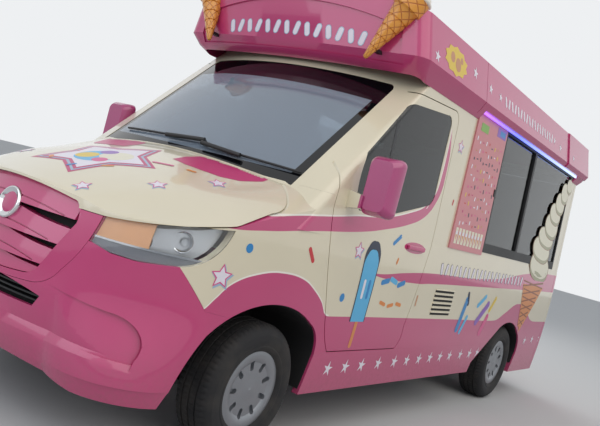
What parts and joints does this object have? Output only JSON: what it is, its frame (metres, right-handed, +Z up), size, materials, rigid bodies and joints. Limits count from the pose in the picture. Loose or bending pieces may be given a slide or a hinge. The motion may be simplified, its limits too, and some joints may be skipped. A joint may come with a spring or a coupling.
{
  "type": "ice cream truck",
  "caption": "Ice cream van: panel van with a hollow cab and serving space, hatch windows, tall roof header with cone shapes, opening doors and bonnet, steered and rolling wheels.",
  "frame": {"origin": "on the ground, under the middle of the van's length and width", "axes": "+X forward, +Y to the vehicle's left, where the serving hatch is, +Z up"},
  "size_m": [5.9357, 2.441, 2.7697],
  "materials": {
    "rose_paint": "gloss",
    "rose_gelcoat": "gloss",
    "cream_paint": "gloss",
    "lamp_lens": "clear",
    "tinted_glass": "clear",
    "black_frame": "satin",
    "menu_panel": "gloss",
    "cone_plastic": "gloss",
    "rose_plastic": "gloss",
    "dark_plastic": "textured",
    "red_lens": "gloss",
    "liner_plastic": "textured",
    "grey_floor": "textured",
    "chassis_paint": "satin",
    "cast_metal": "rough",
    "exhaust_steel": "satin",
    "dash_plastic": "textured",
    "seat_fabric": "woven",
    "white_laminate": "satin",
    "stainless_panel": "brushed",
    "tyre_rubber": "matte",
    "silver_trim": "satin"
  },
  "bodies": {
    "body": {"sill_skirts": "rose_paint", "bumper_front": "rose_paint", "grille": "rose_paint", "headlamps": "lamp_lens", "fender_left": "cream_paint", "fender_right": "cream_paint", "cab_shell": "cream_paint", "windscreen": "tinted_glass", "body_side_left": "cream_paint", "body_side_right": "cream_paint", "rear_frame": "cream_paint", "header": "rose_gelcoat", "cones": "cone_plastic", "floor": "grey_floor", "window_frames": "black_frame", "window_glass": "tinted_glass", "menu_board": "menu_panel", "bumper_rear": "dark_plastic", "tail_lamps": "red_lens", "arch_liners": "liner_plastic", "front_subframe": "chassis_paint", "rear_axle": "chassis_paint", "chassis_frame": "chassis_paint", "engine_block": "cast_metal", "exhaust": "exhaust_steel", "fuel_tank": "dark_plastic", "dashboard": "dash_plastic", "seats": "seat_fabric", "counter": "white_laminate", "soft_serve_machine": "stainless_panel"},
    "bonnet_lid": {"bonnet": "cream_paint"},
    "cab_door_left": {"door_left": "cream_paint", "door_glass_left": "tinted_glass", "mirror_left": "rose_plastic"},
    "cab_door_right": {"door_right": "cream_paint", "door_glass_right": "tinted_glass", "mirror_right": "rose_plastic"},
    "rear_leaf_left": {"rear_door_left": "cream_paint"},
    "rear_leaf_right": {"rear_door_right": "cream_paint"},
    "steer_left": {"knuckle_left": "cast_metal"},
    "steer_right": {"knuckle_right": "cast_metal"},
    "wheel_front_left": {"tyre_front_left": "tyre_rubber", "rim_front_left": "silver_trim"},
    "wheel_front_right": {"tyre_front_right": "tyre_rubber", "rim_front_right": "silver_trim"},
    "wheel_rear_left": {"tyre_rear_left": "tyre_rubber", "rim_rear_left": "silver_trim"},
    "wheel_rear_right": {"tyre_rear_right": "tyre_rubber", "rim_rear_right": "silver_trim"}
  },
  "joints": [
    {"name": "bonnet_hinge", "type": "hinge", "parent": "body", "child": "bonnet_lid", "pos_m": [1.822, 0, 1.45], "axis": [0, -1, 0], "range_deg": [0, 50]},
    {"name": "cab_door_left_hinge", "type": "hinge", "parent": "body", "child": "cab_door_left", "pos_m": [1.712, 0.975, 1], "axis": [0, 0, -1], "range_deg": [0, 70]},
    {"name": "cab_door_right_hinge", "type": "hinge", "parent": "body", "child": "cab_door_right", "pos_m": [1.712, -0.975, 1], "axis": [0, 0, 1], "range_deg": [0, 70]},
    {"name": "rear_door_left_hinge", "type": "hinge", "parent": "body", "child": "rear_leaf_left", "pos_m": [-2.931, 0.806, 1.4], "axis": [0, 0, -1], "range_deg": [0, 170]},
    {"name": "rear_door_right_hinge", "type": "hinge", "parent": "body", "child": "rear_leaf_right", "pos_m": [-2.931, -0.806, 1.4], "axis": [0, 0, 1], "range_deg": [0, 170]},
    {"name": "steer_left_kingpin", "type": "hinge", "parent": "body", "child": "steer_left", "pos_m": [1.962, 0.765, 0.25], "axis": [0, -0.2216, 0.9751], "range_deg": [-35, 35]},
    {"name": "steer_right_kingpin", "type": "hinge", "parent": "body", "child": "steer_right", "pos_m": [1.962, -0.765, 0.25], "axis": [0, 0.2216, 0.9751], "range_deg": [-35, 35]},
    {"name": "wheel_front_left_spin", "type": "hinge", "parent": "steer_left", "child": "wheel_front_left", "pos_m": [1.962, 0.845, 0.345], "axis": [0, 1, 0], "continuous": true},
    {"name": "wheel_front_right_spin", "type": "hinge", "parent": "steer_right", "child": "wheel_front_right", "pos_m": [1.962, -0.845, 0.345], "axis": [0, 1, 0], "continuous": true},
    {"name": "wheel_rear_left_spin", "type": "hinge", "parent": "body", "child": "wheel_rear_left", "pos_m": [-1.703, 0.845, 0.345], "axis": [0, 1, 0], "continuous": true},
    {"name": "wheel_rear_right_spin", "type": "hinge", "parent": "body", "child": "wheel_rear_right", "pos_m": [-1.703, -0.845, 0.345], "axis": [0, 1, 0], "continuous": true}
  ],
  "couplings": [
    {"joint": "steer_right_kingpin", "follows": "steer_left_kingpin", "ratio": 1}
  ]
}
